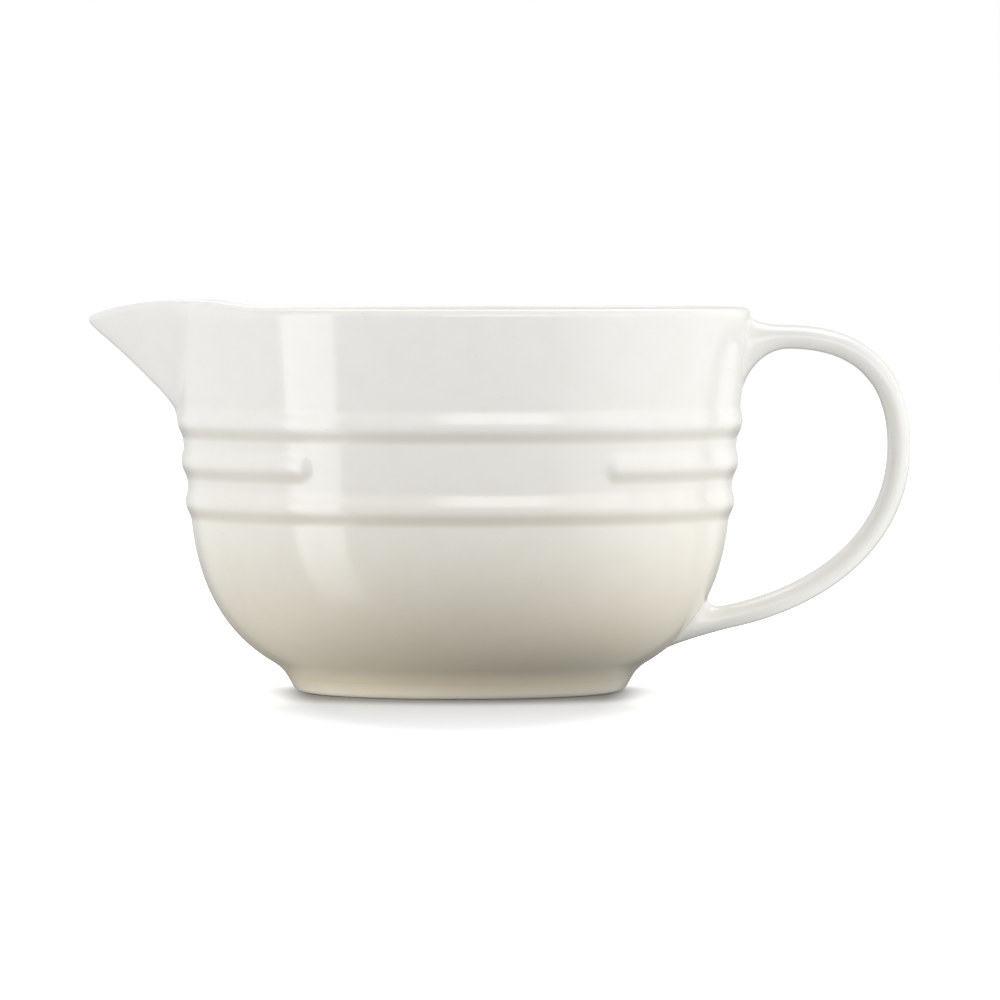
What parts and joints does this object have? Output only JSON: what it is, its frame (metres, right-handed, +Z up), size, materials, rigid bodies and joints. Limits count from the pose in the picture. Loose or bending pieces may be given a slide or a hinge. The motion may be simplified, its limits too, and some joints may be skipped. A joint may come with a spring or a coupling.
{
  "type": "batter bowl",
  "caption": "Round glazed stoneware mixing bowl with raised bands, a drawn pouring spout, a loop handle opposite it and a low foot ring.",
  "frame": {"origin": "middle of the foot circle, on the surface that the bowl stands on", "axes": "+Z up along the bowl's axis, +X towards the handle, -X towards the spout, -Y towards the bare panel of the middle band"},
  "size_m": [0.2862, 0.202, 0.136],
  "materials": {
    "glaze": "gloss",
    "handle_glaze": "gloss",
    "foot_glaze": "gloss",
    "bare_clay": "matte"
  },
  "bodies": {
    "root": {"bowl_body": "glaze", "pouring_spout": "glaze", "handle": "handle_glaze", "foot_ring": "foot_glaze"}
  },
  "joints": []
}
